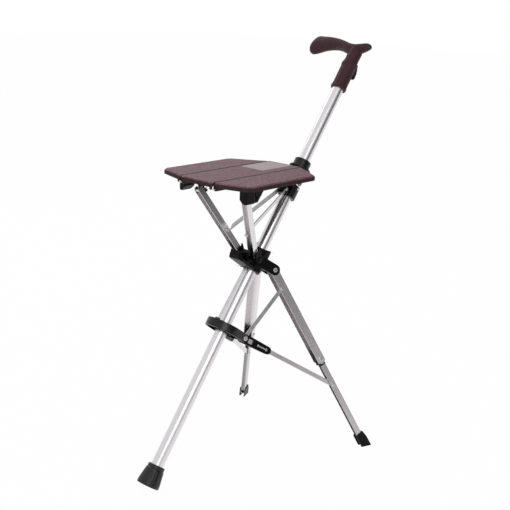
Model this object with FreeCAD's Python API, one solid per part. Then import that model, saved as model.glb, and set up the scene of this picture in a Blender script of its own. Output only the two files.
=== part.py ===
import FreeCAD, Part
import math
import os

# Walking stick seat, standing open. Lengths are in millimetres.
# X runs from the tip's side to the handle's side, Y to the left of someone who faces the handle, Z up.
# "Cane" places are given as s along the tube from its tip, off square behind it, and y to the left.

Vector = FreeCAD.Vector

# Tube, tip and stance
tube_radius = 11.0
tube_wall = 1.6
tube_lean = 36.0
tube_start = 12.0
tube_end = 893.0
tip_radius = 20.5
tip_top_radius = 15.5
tip_height = 38.0
tip_flutes = 18
foot_x = 417.0
foot_y = 160.0

# Hub, ring and the folding legs
leg_pivot = (441.0, 30.0, 20.0)
ring_pivot = (304.5, 35.0, 22.0)
knee_reach = 197.0
side_link_reach = 38.5
side_link_drop = 3.4
brace_reach = 60.0
channel_width = 19.0
channel_depth = 16.0
channel_wall = 1.3
lower_width = 9.5
lower_depth = 11.5
lower_wall = 1.2
boot_width = 12.1
boot_height = 28.0
cheek_gap = 9.8
cheek_thick = 3.0
link_layer = (6.4, 7.9)
ear_layer = (8.3, 11.3)
rivet_radius = 2.5
small_rivet = 2.0
running_fit = 0.06
head_radius = 4.4
head_height = 1.6

# Seat
seat_height = 540.0
seat_front = 104.0
seat_rear = 331.0
seat_half = 105.0
centre_half = 38.6
plank_gap = 1.3
corner_front = 124.0
corner_rear = 290.0
plate_thick = 5.0
skirt_depth = 13.0
skirt_shallow = 9.2
skirt_thick = 3.0
rod_depth = 11.0
rod_radius = 2.0
hinge_place = (333.6, 524.0)
hinge_pin_radius = 2.5

# Struts that carry the seat
strut_pivot = (438.0, -26.0, 20.0)
strut_top = (166.7, 56.0, 504.0)
strut_width = 13.0
strut_depth = 12.0
strut_wall = 1.3
splay_reach = 13.0
strut_link_reach = 44.2
link_spacer = 3.1
splay_turn = -17.54
yoke_turn = 69.16

# Sliding pieces on the tube
slide_radius = 11.3
runner_span = (574.0, 600.0)
runner_radius = 16.5
link_foot = (584.0, -15.9, 7.2)
link_half = 0.75
collar_span = (604.0, 652.0)
ring_span = (297.0, 312.0)
strip_top = 472.0

# Handle
sleeve_bottom = 811.0


def frame(origin, along, up):
    """Placement whose local X is along, and whose local Y is the part of up square to it."""
    x = Vector(*along).normalize()
    y = Vector(*up)
    y = (y - x * y.dot(x)).normalize()
    z = x.cross(y)
    m = FreeCAD.Matrix(x.x, y.x, z.x, origin[0], x.y, y.y, z.y, origin[1],
                       x.z, y.z, z.z, origin[2], 0, 0, 0, 1)
    return FreeCAD.Placement(m)


def box(x, y, z):
    """Block between pairs of limits."""
    return Part.makeBox(x[1] - x[0], y[1] - y[0], z[1] - z[0], Vector(x[0], y[0], z[0]))


def rod(radius, a, b):
    """Round bar from point a to point b."""
    a = Vector(*a)
    b = Vector(*b)
    return Part.makeCylinder(radius, (b - a).Length, a, b - a)


def pipe(outer, inner, z0, z1):
    """Upright sleeve on the Z axis."""
    return rod(outer, (0, 0, z0), (0, 0, z1)).cut(rod(inner, (0, 0, z0 - 1), (0, 0, z1 + 1)))


def slab(points, direction):
    """Flat outline given by its corners, pushed along a direction."""
    corners = [Vector(*p) for p in points]
    return Part.Face(Part.makePolygon(corners + [corners[0]])).extrude(Vector(*direction))


def strap(a, b, radius, low, high):
    """Flat bar with round ends in the XZ plane, between two layers of y."""
    d = Vector(b[0] - a[0], 0, b[1] - a[1])
    side = Vector(-d.z, 0, d.x).normalize() * radius
    p = Vector(a[0], low, a[1])
    q = Vector(b[0], low, b[1])
    end = d.normalize() * radius
    outline = Part.Wire([
        Part.LineSegment(p + side, q + side).toShape(),
        Part.Arc(q + side, q + end, q - side).toShape(),
        Part.LineSegment(q - side, p - side).toShape(),
        Part.Arc(p - side, p - end, p + side).toShape(),
    ])
    return Part.Face(outline).extrude(Vector(0, high - low, 0))


def channel(start, end, width, low, high, wall):
    """Folded sheet along X: two flanges and a web on its upper side, open below."""
    outer = box((start, end), (-width / 2, width / 2), (low, high))
    corners = [e for e in outer.Edges if abs(e.BoundBox.ZMin - high) < 0.01 and e.BoundBox.XLength > 1]
    outer = outer.makeFillet(wall * 1.3, corners)
    return outer.cut(box((start - 1, end + 1), (wall - width / 2, width / 2 - wall), (low - 1, high - wall)))


def rivet(x, z, low, high, radius, heads):
    """Rivet across the layers of y; heads say whether the low and the high end have one."""
    body = rod(radius, (x, low, z), (x, high, z))
    for here, outward, wanted in ((low, -1, heads[0]), (high, 1, heads[1])):
        if wanted:
            head = rod(radius * 1.75, (x, here, z), (x, here + outward * radius * 0.55, z))
            rim = [e for e in head.Edges if abs(e.BoundBox.YMin - here) > radius * 0.5 and e.Closed]
            body = body.fuse(head.makeFillet(radius * 0.4, rim[:1]))
    return body


def lengthwise(shape, place):
    """Copy of a shape moved to its place."""
    moved = shape.copy()
    moved.Placement = place.multiply(moved.Placement)
    return moved


cane = FreeCAD.Placement(Vector(0, 0, tip_radius * math.sin(math.radians(tube_lean))),
                         FreeCAD.Rotation(Vector(0, 1, 0), tube_lean))


def on_cane(s, off, y=0.0):
    """World point of a place on the cane."""
    return cane.multVec(Vector(off, y, s))


def off_cane(point):
    """Place on the cane (off, y, s) of a world point."""
    return cane.inverse().multVec(Vector(*point))


# The leg mechanism lies in a flat layer that is turned about the tube.
hub_s, hub_off, hub_y = leg_pivot
leg_turn = 24.0
turn_cos = math.cos(math.radians(leg_turn))
turn_sin = math.sin(math.radians(leg_turn))
layer = hub_y * turn_cos - hub_off * turn_sin
leg_plane = cane.multiply(FreeCAD.Placement(Vector(0, 0, 0), FreeCAD.Rotation(Vector(0, 0, 1), leg_turn)))
leg_plane = leg_plane.multiply(FreeCAD.Placement(Vector(0, layer, 0), FreeCAD.Rotation()))
foot = leg_plane.inverse().multVec(Vector(foot_x, foot_y, 0))
pivot_b = hub_off * turn_cos + hub_y * turn_sin
ring_b = ring_pivot[1] * turn_cos + ring_pivot[2] * turn_sin
leg_length = math.hypot(foot.x - pivot_b, foot.z - hub_s)
leg_way = ((foot.x - pivot_b) / leg_length, (foot.z - hub_s) / leg_length)
brace_joint = knee_reach + brace_reach


def in_plane(reach):
    """Place (b, s) of a point at some reach down the open leg."""
    return (pivot_b + leg_way[0] * reach, hub_s + leg_way[1] * reach)


def plane_frame(at, towards):
    """Local frame in the leg's plane: X towards a point, Y outward across it, Z up."""
    return leg_plane.multiply(frame((at[0], 0, at[1]), (towards[0] - at[0], 0, towards[1] - at[1]), (0, 1, 0)))


ring_at = (ring_b, ring_pivot[0])
side_link_at = (in_plane(side_link_reach)[0] + leg_way[1] * side_link_drop,
                in_plane(side_link_reach)[1] - leg_way[0] * side_link_drop)
leg_place = plane_frame(in_plane(0), in_plane(100))
knee_place = plane_frame(in_plane(knee_reach), in_plane(leg_length))
brace_place = plane_frame(ring_at, in_plane(brace_joint))
link_place = plane_frame(ring_at, side_link_at)
brace_length = math.dist(ring_at, in_plane(brace_joint))
link_length = math.dist(ring_at, side_link_at)

# The struts stand on the hub's yoke and reach up to the side planks.
yoke_side = on_cane(*strut_pivot)
strut_head = Vector(strut_top[0], strut_top[1], strut_top[2])
strut_rise = Vector(strut_head.x - yoke_side.x, 0, strut_head.z - yoke_side.z).normalize()
strut_foot = yoke_side + strut_rise * splay_reach
strut_length = (strut_head - strut_foot).Length
strut_place = frame(strut_foot, strut_head - strut_foot, (0, 1, 0))

parts = {}


def keep(name, shape, place=None):
    parts[name] = lengthwise(shape, place) if place else shape


def keep_pair(name, shape, place=None):
    """Left piece and its mirror image on the right."""
    left = lengthwise(shape, place) if place else shape
    parts["left_" + name] = left
    parts["right_" + name] = left.mirror(Vector(0, 0, 0), Vector(0, 1, 0))


def both_sides(shape):
    """A group of a piece and its mirror image."""
    return Part.makeCompound([shape, shape.mirror(Vector(0, 0, 0), Vector(0, 1, 0))])


def main_tube():
    """Cane tube with the slot for the trigger's tongue and the hole of the yoke's pin."""
    tube = pipe(tube_radius, tube_radius - tube_wall, tube_start, tube_end)
    latch_slot = box((-20, 20), (-2.6, 2.6), (624, 636))
    trigger_slot = box((0, 20), (-3.7, 3.7), (847, 863.5))
    return tube.cut(latch_slot).cut(trigger_slot).cut(hub_screws(0.03))


def rubber_tip():
    """Fluted rubber foot of the cane."""
    profile = [(0, 0), (tip_radius - 1.2, 0), (tip_radius, 1.4), (tip_radius, 5), (tip_top_radius + 1, 30),
               (tip_top_radius, 31.5), (tip_top_radius, tip_height - 1.5), (tip_top_radius - 1.5, tip_height),
               (tube_radius + 0.03, tip_height), (tube_radius + 0.03, tube_start), (0, tube_start)]
    half = Part.Face(Part.makePolygon([Vector(r, 0, z) for r, z in profile + [profile[0]]]))
    tip = half.revolve(Vector(0, 0, 0), Vector(0, 0, 1), 360)
    flutes = []
    for i in range(tip_flutes):
        a = 2 * math.pi * i / tip_flutes
        c = math.cos(a)
        q = math.sin(a)
        low = (c * (tip_radius + 0.6), q * (tip_radius + 0.6), 7)
        high = (c * (tip_top_radius + 2.4), q * (tip_top_radius + 2.4), 28)
        flutes.append(rod(1.6, low, high))
    return tip.cut(Part.makeCompound(flutes))


def handle():
    """Palm grip with its long end, nose and neck, lofted in one moulding over the tube."""
    # y, lower and upper level, half thickness: the palm end, the waist over the tube and the beak
    sections = [(107.5, 886.5, 904, 8), (104.5, 883.5, 914, 11.3), (99, 882.5, 921.3, 12.6), (88, 886.5, 922.3, 13),
                (75, 892.5, 922, 13.2), (60, 896.3, 920.8, 13.2), (38, 896.5, 917, 13), (18, 890, 911.4, 12.8),
                (0, 890, 910.4, 12.2), (-13, 896, 913, 10.5), (-23, 901.3, 914.3, 8), (-28.5, 904.5, 912, 4.5)]
    wires = []
    for y, low, high, half in sections:
        tall = (high - low) / 2
        major, minor = (half, tall) if half >= tall else (tall, half)
        turn = Vector(1, 0, 0) if half >= tall else Vector(0, 0, 1)
        ring = Part.Ellipse(Vector(0, y, (low + high) / 2) + turn * major, Vector(0, y, (low + high) / 2)
                            + (Vector(0, 0, 1) if half >= tall else Vector(1, 0, 0)) * minor,
                            Vector(0, y, (low + high) / 2))
        wires.append(Part.Wire(ring.toShape()))
    grip = Part.makeLoft(wires, True)
    neck_profile = [(0, sleeve_bottom), (14.7, sleeve_bottom), (15.5, sleeve_bottom + 1.5), (15.3, 816.5),
                    (14.4, 819.5), (14.4, 858), (15.4, 861.5), (15.3, 866), (13.6, 870), (13.0, 877),
                    (13.2, 886), (13.4, 894), (11.6, 904), (0, 904)]
    half = Part.Face(Part.makePolygon([Vector(r, 0, z) for r, z in neck_profile + [neck_profile[0]]]))
    neck = half.revolve(Vector(0, 0, 0), Vector(0, 0, 1), 360)
    bore = rod(tube_radius + 0.03, (0, 0, sleeve_bottom - 1), (0, 0, tube_end + 0.5))
    window = box((8, 30), (-5.0, 5.0), (846, 870))
    pin_hole = rod(1.5, (12.6, -20, 866), (12.6, 20, 866))
    return grip.fuse(neck).removeSplitter().cut(bore).cut(window).cut(pin_hole)


def trigger():
    """Rocker in the sleeve's window: web on the pin, pad outside, and a tongue that lifts the pull rod."""
    web = slab([(11.6, -3.5, 868.5), (17.5, -3.5, 868.5), (19, -3.5, 864), (19, -3.5, 853), (11.6, -3.5, 853)],
               (0, 7, 0))
    blade = slab([(15.6, -4.6, 875.5), (17.6, -4.6, 876.6), (20.8, -4.6, 873.5), (24.2, -4.6, 867.5),
                  (26.5, -4.6, 860), (27.0, -4.6, 853), (25.6, -4.6, 848.6), (22.6, -4.6, 847.4),
                  (20.2, -4.6, 849.6), (18.2, -4.6, 854), (15.6, -4.6, 862)], (0, 9.2, 0))
    blade = blade.makeFillet(1.4, [e for e in blade.Edges if e.BoundBox.YLength < 0.01 and e.BoundBox.XMax > 20.9])
    blade = blade.fuse(web)
    tongue = slab([(12.5, -2.6, 852), (12.5, -2.6, 856.5), (6.0, -2.6, 856.5), (6.0, -2.6, 852)], (0, 5.2, 0))
    return blade.fuse(tongue).cut(rod(1.5 + running_fit, (12.6, -20, 866), (12.6, 20, 866)))


def coil(radius, wire, turns, low, high):
    """Spring wound about Z, its wire round."""
    path = Part.makeHelix((high - low) / turns, high - low, radius)
    start = Part.Circle(Vector(radius, 0, 0), Vector(0, 1, 0.12), wire)
    solid = Part.Wire(path).makePipeShell([Part.Wire(start.toShape())], True, True)
    solid.translate(Vector(0, 0, low))
    return solid


def hub_clamp():
    """Black moulding round the tube with cheeks for the legs behind and the strut yoke in front."""
    body = rod(17, (0, 0, 420), (0, 0, 464))
    rims = [e for e in body.Edges if e.Closed and e.BoundBox.ZLength < 0.01]
    body = body.makeFillet(1.5, rims)
    plate = slab([(-12, -9, 428), (-12, -9, 447), (-28, -9, 445), (-32, -9, 441), (-32, -9, 433), (-29, -9, 430)],
                 (0, 18, 0))
    plate = plate.cut(box((-40, -20.5), (-4.6, 4.6), (400, 500)))
    tray = slab([(-10, -15, 420), (-10, -15, 426), (-51, -15, 425), (-55.5, -15, 430), (-58, -15, 434.5),
                 (-61, -15, 433.5), (-60.5, -15, 426), (-56, -15, 419.5)], (0, 30, 0))
    tray = tray.makeFillet(1.2, [e for e in tray.Edges if e.BoundBox.YLength > 20 and e.BoundBox.XMax < -50.5])
    corner = slab([(-66, -16, 410), (-46, -16, 410), (-66, -9, 410)], (0, 0, 30))
    tray = tray.cut(corner).cut(corner.mirror(Vector(0, 0, 0), Vector(0, 1, 0)))
    body = body.fuse(plate).fuse(tray)
    arch = slab([(-6, -17, 450), (16, -17, 450), (16, -17, 458), (8, -17, 468), (-2, -17, 464)], (0, 34, 0))
    arch = arch.common(rod(19.5, (0, 0, 440), (0, 0, 480)))
    return body.fuse(arch)


def leg_cheeks():
    """Pair of cheeks on one side that hold the top of a leg, in the leg's plane (x is b, z is s)."""
    cheeks = []
    for low, high in ((cheek_gap, cheek_gap + cheek_thick), (-cheek_gap - cheek_thick, -cheek_gap)):
        tongue = strap((pivot_b, hub_s), (4, hub_s), 10, low, high)
        cheeks.append(tongue)
    bridge = box((9, 21.5), (-cheek_gap - 0.5, cheek_gap + 0.5), (431, 451))
    return cheeks[0].fuse(cheeks[1]).fuse(bridge)


def hub():
    """Black tray on the tube that carries the pivots of both legs and the yoke."""
    body = hub_clamp()
    unturn = cane.inverse().multiply(leg_plane)
    left = lengthwise(leg_cheeks(), unturn)
    body = body.fuse(left).fuse(left.mirror(Vector(0, 0, 0), Vector(0, 1, 0)))
    body = body.cut(rod(tube_radius + 0.03, (0, 0, 400), (0, 0, 480)))
    strip_slot = box((-20.5, -12.0), (-4.2, 4.2), (400, 480))
    yoke_hole = rod(3.0, (strut_pivot[1], -30, strut_pivot[0]), (strut_pivot[1], 30, strut_pivot[0]))
    light_slot = box((11.5, 25), (-3.5, 3.5), (455, 459))
    body = body.cut(strip_slot).cut(yoke_hole).cut(light_slot).cut(hub_screws(0.03))
    for side in (1, -1):
        hole = lengthwise(rod(rivet_radius, (pivot_b, -30, hub_s), (pivot_b, 30, hub_s)), unturn)
        body = body.cut(hole if side == 1 else hole.mirror(Vector(0, 0, 0), Vector(0, 1, 0)))
    return body.removeSplitter()


def hub_screws(spare=0.0):
    """Screws that hold the hub on the tube, one above the other on each side; spare widens them to holes."""
    screws = []
    for s in (426.0, 458.5):
        for side in (1, -1):
            screws.append(rod(1.8 + spare, (0, (tube_radius - 2.2 - spare) * side, s), (0, 17.6 * side, s)))
    return Part.makeCompound(screws)


def leg_pivot_rivets():
    """Rivets on which the upper legs turn in the hub."""
    stubs = []
    outer = channel_width / 2 - channel_wall
    for sign in (1, -1):
        ends = (outer, cheek_gap + cheek_thick) if sign == 1 else (-cheek_gap - cheek_thick, -outer)
        heads = (False, True) if sign == 1 else (True, False)
        stubs.append(rivet(pivot_b, hub_s, ends[0], ends[1], rivet_radius, heads))
    return both_sides(lengthwise(Part.makeCompound(stubs), leg_plane))


def upper_leg():
    """Channel leg, open on the side towards the lower leg."""
    half = channel_depth / 2
    leg = channel(-9.5, knee_reach + 9.5, channel_width, -half, half, channel_wall)
    for end, way in ((-9.5, 1), (knee_reach + 9.5, -1)):
        for z in (-half, half):
            cut = slab([(end - way, -15, z * 1.1), (end + way * 5, -15, z * 1.1), (end - way, -15, z * 0.3)],
                       (0, 30, 0))
            leg = leg.cut(cut)
    holes = [rod(rivet_radius + running_fit, (0, -15, 0), (0, 15, 0)),
             rod(rivet_radius + 0.02, (knee_reach, -15, 0), (knee_reach, 15, 0)),
             rod(small_rivet + 0.02, (side_link_reach, 0, -side_link_drop), (side_link_reach, 15, -side_link_drop))]
    return leg.cut(Part.makeCompound(holes))


def lower_leg():
    """In the knee's frame, X towards the foot; the channel is open towards the brace."""
    reach = leg_length - knee_reach
    leg = channel(2.8, reach - 6, lower_width, -5, 6.5, lower_wall)
    return leg.cut(rod(small_rivet + 0.02, (brace_reach, -15, 0), (brace_reach, 15, 0)))


def knee_block():
    """Plastic plug in the top of a lower leg, around the knee's rivet."""
    inner = channel_width / 2 - channel_wall - 0.25
    round_end = rod(6.3, (0, -inner, 0), (0, inner, 0))
    block = round_end.fuse(box((0, 13), (-inner, inner), (-6.3, 5.2))).fuse(
        box((0, 26), (lower_wall - lower_width / 2 + 0.02, lower_width / 2 - lower_wall - 0.02), (-4.6, 5.25)))
    channel_room = box((2.8, 40), (-lower_width / 2 - 0.03, lower_width / 2 + 0.03), (-8, 8))
    core = box((2.7, 26), (lower_wall - lower_width / 2 + 0.02, lower_width / 2 - lower_wall - 0.02), (-4.6, 5.25))
    block = block.cut(channel_room.cut(core))
    return block.cut(rod(rivet_radius + running_fit, (0, -15, 0), (0, 15, 0)))


def boot():
    """Fork-shaped rubber foot in the knee's frame; the brace lies in its fork when folded."""
    reach = leg_length - knee_reach
    half = boot_width / 2
    body = box((reach - boot_height, reach + 24), (-half, half), (-7.5, 12))
    body = body.makeChamfer(1.2, [e for e in body.Edges if abs(e.BoundBox.XMax - reach + boot_height) < 0.01
                                  and e.BoundBox.YLength > 5])
    toe = slab([(reach - boot_height - 1, -20, 9), (reach - boot_height - 1, -20, 13), (reach - 8, -20, 13)],
               (0, 40, 0))
    channel_room = box((0, reach - 5.95), (-lower_width / 2 - 0.03, lower_width / 2 + 0.03), (-9, 6.53))
    fork = box((0, reach + 30), (-3.4, 3.4), (-9, 5.25))
    body = lengthwise(body.cut(toe).cut(channel_room).cut(fork), knee_place)
    return body.cut(box((0, 900), (-400, 400), (-60, 0)))


def knee_rivet():
    """Rivet through the knee."""
    half = channel_width / 2
    return rivet(0, 0, -half, half, rivet_radius, (True, True))


def brace():
    """Flat bar from the ring to the lower leg; its far end is a hook that drops over the leg's rivet."""
    bar = strap((14, 0), (brace_length, 0), 4, -2.5, 2.5)
    mouth = box((brace_length, brace_length + 9), (-4, 4), (-9, small_rivet + 0.1))
    mouth = mouth.fuse(box((brace_length - small_rivet - 0.1, brace_length + 9), (-4, 4), (-9, 0)))
    mouth = mouth.fuse(rod(small_rivet + 0.1, (brace_length, -4, 0), (brace_length, 4, 0)))
    return bar.cut(mouth)


def brace_arm():
    """Black arm of a brace: eye for the ring's rivet, window behind it and a slot between two holes."""
    arm = slab([(0, -5, -9), (55.5, -5, -7.2), (55.5, -5, 7.2), (0, -5, 9)], (0, 10, 0))
    arm = arm.fuse(rod(9, (0, -5, 0), (0, 5, 0))).fuse(rod(7.2, (55.5, -5, 0), (55.5, 5, 0))).removeSplitter()
    bar_room = box((9.4, 80), (-2.53, 2.53), (-4.03, 4.03))
    window = box((9.4, 21.5), (-10, 10), (-4.6, 4.6))
    dog_bone = strap((34, 0), (53, 0), 1.3, -10, 10).fuse(rod(2.7, (34, -10, 0), (34, 10, 0)))
    dog_bone = dog_bone.fuse(rod(3.1, (53, -10, 0), (53, 10, 0)))
    hole = rod(rivet_radius + running_fit, (0, -10, 0), (0, 10, 0))
    return arm.cut(bar_room).cut(window).cut(dog_bone).cut(hole)


def side_link():
    """Flat link from the ring to an upper leg."""
    bar = strap((0, 0), (link_length, 0), 3.6, link_layer[0], link_layer[1])
    mouth = box((link_length, link_length + 9), (0, 12), (-9, small_rivet + 0.1))
    mouth = mouth.fuse(box((link_length - small_rivet - 0.1, link_length + 9), (0, 12), (-9, 0)))
    mouth = mouth.fuse(rod(small_rivet + 0.1, (link_length, 0, 0), (link_length, 12, 0)))
    return bar.cut(mouth).cut(rod(rivet_radius + running_fit, (0, 0, 0), (0, 12, 0)))


def side_link_rivet():
    """Rivet of a side link in its upper leg."""
    half = channel_width / 2
    return rivet(side_link_reach, -side_link_drop, link_layer[0] - 0.1, half, small_rivet, (False, True))


def brace_rivet():
    """Rivet of a brace in its lower leg."""
    half = lower_width / 2
    return rivet(brace_reach, 0, -half, half, small_rivet, (True, True))


def ring():
    """Sleeve on the tube with a deep U-shaped band round the front and an ear for each leg's links."""
    low, high = ring_span
    outer = rod(34.8, (3, 0, low), (3, 0, high)).fuse(box((3, 28), (-34.8, 34.8), (low, high)))
    inner = rod(31.4, (3, 0, low - 1), (3, 0, high + 1)).fuse(box((3, 40), (-31.4, 31.4), (low - 1, high + 1)))
    rims = [e for e in outer.removeSplitter().Edges if e.BoundBox.ZLength < 0.01 and e.BoundBox.XMin < -28]
    outer = outer.removeSplitter().makeFillet(1.0, rims)
    band = outer.cut(inner)
    web = rod(33, (3, 0, low + 5), (3, 0, low + 9)).fuse(box((3, 9), (-33, 33), (low + 5, low + 9)))
    web = web.cut(box((9, 60), (-60, 60), (low, high)))
    openings = [rod(7, (-2, y, low), (-2, y, high)) for y in (-22.5, 22.5)]
    body = band.fuse(web.cut(Part.makeCompound(openings))).fuse(rod(14.5, (0, 0, low), (0, 0, high)))
    ear = strap((ring_b - 15, (low + high) / 2), (ring_b, ring_pivot[0]), 8, ear_layer[0], ear_layer[1])
    ear = lengthwise(ear, cane.inverse().multiply(leg_plane))
    body = body.fuse(ear).fuse(ear.mirror(Vector(0, 0, 0), Vector(0, 1, 0)))
    strip_seat = box((-27, -22.4), (-4.5, 4.5), (high - 7, high + 3))
    body = body.fuse(strip_seat)
    hole = lengthwise(rod(rivet_radius + 0.02, (ring_b, 0, ring_pivot[0]), (ring_b, 30, ring_pivot[0])),
                      cane.inverse().multiply(leg_plane))
    head_room = lengthwise(rod(5.4, (ring_b, ear_layer[1], ring_pivot[0]), (ring_b, 30, ring_pivot[0])),
                           cane.inverse().multiply(leg_plane))
    for cutter in (hole, head_room):
        body = body.cut(cutter).cut(cutter.mirror(Vector(0, 0, 0), Vector(0, 1, 0)))
    return body.cut(rod(slide_radius, (0, 0, low - 9), (0, 0, high + 9)))


def ring_rivets():
    """Rivets of the braces and side links in the ring."""
    pin = rivet(ring_b, ring_pivot[0], -5.2, ear_layer[1], rivet_radius, (True, True))
    spacer = rod(3.8, (ring_b, 5.15, ring_pivot[0]), (ring_b, link_layer[0] - 0.1, ring_pivot[0]))
    return both_sides(lengthwise(pin.fuse(spacer), leg_plane))


def front_strip():
    """Thin strip from the ring's front up through the hub's slot, where it guides the ring."""
    high = ring_span[1]
    strip = slab([(-20.6, -3, high - 5), (-22.3, -3, high - 5), (-22.3, -3, high + 1), (-15.0, -3, strip_top),
                  (-13.4, -3, strip_top), (-20.6, -3, high + 1)], (0, 6, 0))
    return strip


def yoke():
    """Rocker on the hub's pin: a saddle for the foot of each strut and a bridge between them."""
    barrels = rod(5.4, (strut_pivot[1], 12, strut_pivot[0]), (strut_pivot[1], 30.5, strut_pivot[0]))
    half = lengthwise(barrels, cane)
    saddle_place = frame(strut_foot, strut_rise, (0, 1, 0))
    lean = FreeCAD.Placement(Vector(0, 0, 0), FreeCAD.Rotation(Vector(0, 0, 1), 6.3))
    tongue = box((-9, 7), (-3.4, 3.4), (-4.5, 4.2)).fuse(rod(3.4, (7, 0, -4.5), (7, 0, 4.2)))
    half = half.fuse(lengthwise(tongue, saddle_place.multiply(lean)))
    base = slab([(-10.5, -7.5, -5.2), (-6.6, -7.5, -6.8), (-6.6, -7.5, 6.8), (-10.5, -7.5, 5.2)], (0, 17, 0))
    half = half.fuse(lengthwise(base, saddle_place))
    for y, thick in ((9.4, 1.9), (-9.4, 1.9)):
        horn = slab([(-15, y, -5), (-6, y, -7.5), (4, y, -9.5), (9, y, -9), (5, y, -5), (4, y, 2), (-2, y, 6.5),
                     (-9, y, 6.5), (-15, y, 5)], (0, thick, 0))
        half = half.fuse(lengthwise(horn, saddle_place))
    bridge = box((-2.6, 0.8), (-31, -7.6), (-3.4, 3.4)).fuse(box((-9, 0.8), (-9.4, -7.5), (-3.4, 3.4)))
    half = half.fuse(lengthwise(bridge, saddle_place))
    whole = half.fuse(half.mirror(Vector(0, 0, 0), Vector(0, 1, 0))).removeSplitter()
    pin_room = rod(3.0 + running_fit, (strut_pivot[1], -50, strut_pivot[0]), (strut_pivot[1], 50, strut_pivot[0]))
    whole = whole.cut(lengthwise(pin_room, cane))
    hole = lengthwise(rod(1.6, (0, 0, -12), (0, 0, -3.2)), saddle_place)
    return whole.cut(hole).cut(hole.mirror(Vector(0, 0, 0), Vector(0, 1, 0)))


def yoke_pin():
    """Headed pin on which the yoke of the struts turns."""
    return rivet(strut_pivot[1], strut_pivot[0], -31.7, 31.7, 3.0, (True, True))


def strut():
    """Channel whose open side faces forward and down; its web stops short of the top joint."""
    bar = channel(-4.6, strut_length + 6, strut_width, -strut_depth / 2, strut_depth / 2, strut_wall)
    bar = bar.mirror(Vector(0, 0, 0), Vector(0, 0, 1))
    notch = box((strut_length - 9.5, strut_length + 9), (-5.2, 5.2), (-9, -4.7 + 0.01))
    tops = [slab([(strut_length + 7, -9, z), (strut_length + 1, -9, z), (strut_length + 7, -9, z * 0.2)], (0, 18, 0))
            for z in (-6.6, 6.6)]
    bar = bar.cut(notch).cut(Part.makeCompound(tops))
    foot_hole = rod(1.6 + running_fit, (0, 0, -9), (0, 0, 0))
    head_hole = rod(2.0 + 0.02, (strut_length, -9, 0), (strut_length, 9, 0))
    link_hole = rod(2.0 + 0.02, (strut_link_reach, -9, 1), (strut_link_reach, 0, 1))
    return bar.cut(foot_hole).cut(head_hole).cut(link_hole)


def strut_foot_rivets():
    """Rivets of the struts' feet in the yoke."""
    pin = rod(1.6, (0, 0, -6.4), (0, 0, -3.2)).fuse(rod(3.0, (0, 0, -7.4), (0, 0, -6.4)))
    return both_sides(lengthwise(pin, frame(strut_foot, strut_rise, (0, 1, 0))))


def strut_swivel():
    """Cross block at the top of a strut: it turns on the strut's rivet and its stud points to the rear."""
    block = lengthwise(rod(4.4, (strut_length, -4.9, 0), (strut_length, 4.9, 0)), strut_place)
    stud = rod(2.0, strut_head, strut_head + Vector(17.0, 0, 0))
    hole = lengthwise(rod(2.0 + running_fit, (strut_length, -9, 0), (strut_length, 9, 0)), strut_place)
    return block.fuse(stud).cut(hole)


def strut_head_rivet():
    """Rivet through a strut's top and its swivel."""
    return rivet(strut_length, 0, -strut_width / 2, strut_width / 2, 2.0, (False, True))


def strut_link_rivet():
    """Rivet in a strut that the seat link hooks over."""
    face = -strut_width / 2
    inner = face + strut_wall
    pin = rivet(strut_link_reach, 1, face - link_spacer - 2 * link_half - 0.1, inner, 2.0, (False, True))
    return pin


def clevis():
    """Black bracket under a side plank: base, forward lump and the ear that takes the swivel's stud."""
    x, y, z = strut_top
    base = box((140, 182.2), (64, 82), (530.5, 534.97))
    lump = box((140, 164), (63.5, 79.5), (503, 532))
    lump = lump.makeFillet(3, [e for e in lump.Edges if e.BoundBox.ZLength > 20 or e.BoundBox.ZMax < 504])
    lump = lump.cut(slab([(130, 60, 515.5), (130, 75, 502), (130, 60, 490)], (50, 0, 0)))
    ear = slab([(178.2, 82, 534.97), (178.2, 82, 526), (178.2, 68, 501), (178.2, 61, 498.4), (178.2, 54.5, 498.2),
                (178.2, 51, 500), (178.2, 51.0, 509.5), (178.2, 60, 516), (178.2, 64, 534.97)], (4, 0, 0))
    slot = rod(2.2, (170, y, z), (190, y, z))
    mouth = slab([(170, y + 2.6, z - 0.4), (170, y - 1.1, z - 2.05), (170, y - 12, z + 4.2), (170, y - 12, z + 16),
                  (170, y + 4.2, z + 16)], (20, 0, 0))
    wall = box((164, 178.5), (76, 79.5), (515, 532))
    whole = base.fuse(lump).fuse(ear).fuse(wall).removeSplitter()
    return whole.cut(slot).cut(mouth).cut(clevis_screws(0.02))


def clevis_screws(spare=0.0):
    """Screws of a bracket, up into the plank; spare widens their shanks to holes."""
    screws = []
    for x, y in ((168.8, 67.6), (173.4, 72.8)):
        shank = rod(1.5 + spare, (x, y, 530), (x, y, 538.4 + spare))
        screws.append(shank if spare else shank.fuse(rod(2.8, (x, y, 528.7), (x, y, 530.47))))
    return Part.makeCompound(screws)


def plank(outline, rounded, radius):
    """Block of a plank's outline, with some of its upright corners rounded."""
    low = seat_height - skirt_depth
    block = slab([(x, y, low) for x, y in outline], (0, 0, skirt_depth))
    corners = []
    for edge in block.Edges:
        extent = edge.BoundBox
        for x, y in rounded:
            if abs(extent.XMin - x) < 0.01 and abs(extent.YMin - y) < 0.01 and extent.ZLength > 1:
                corners.append(edge)
    return block.makeFillet(radius, corners)


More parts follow.
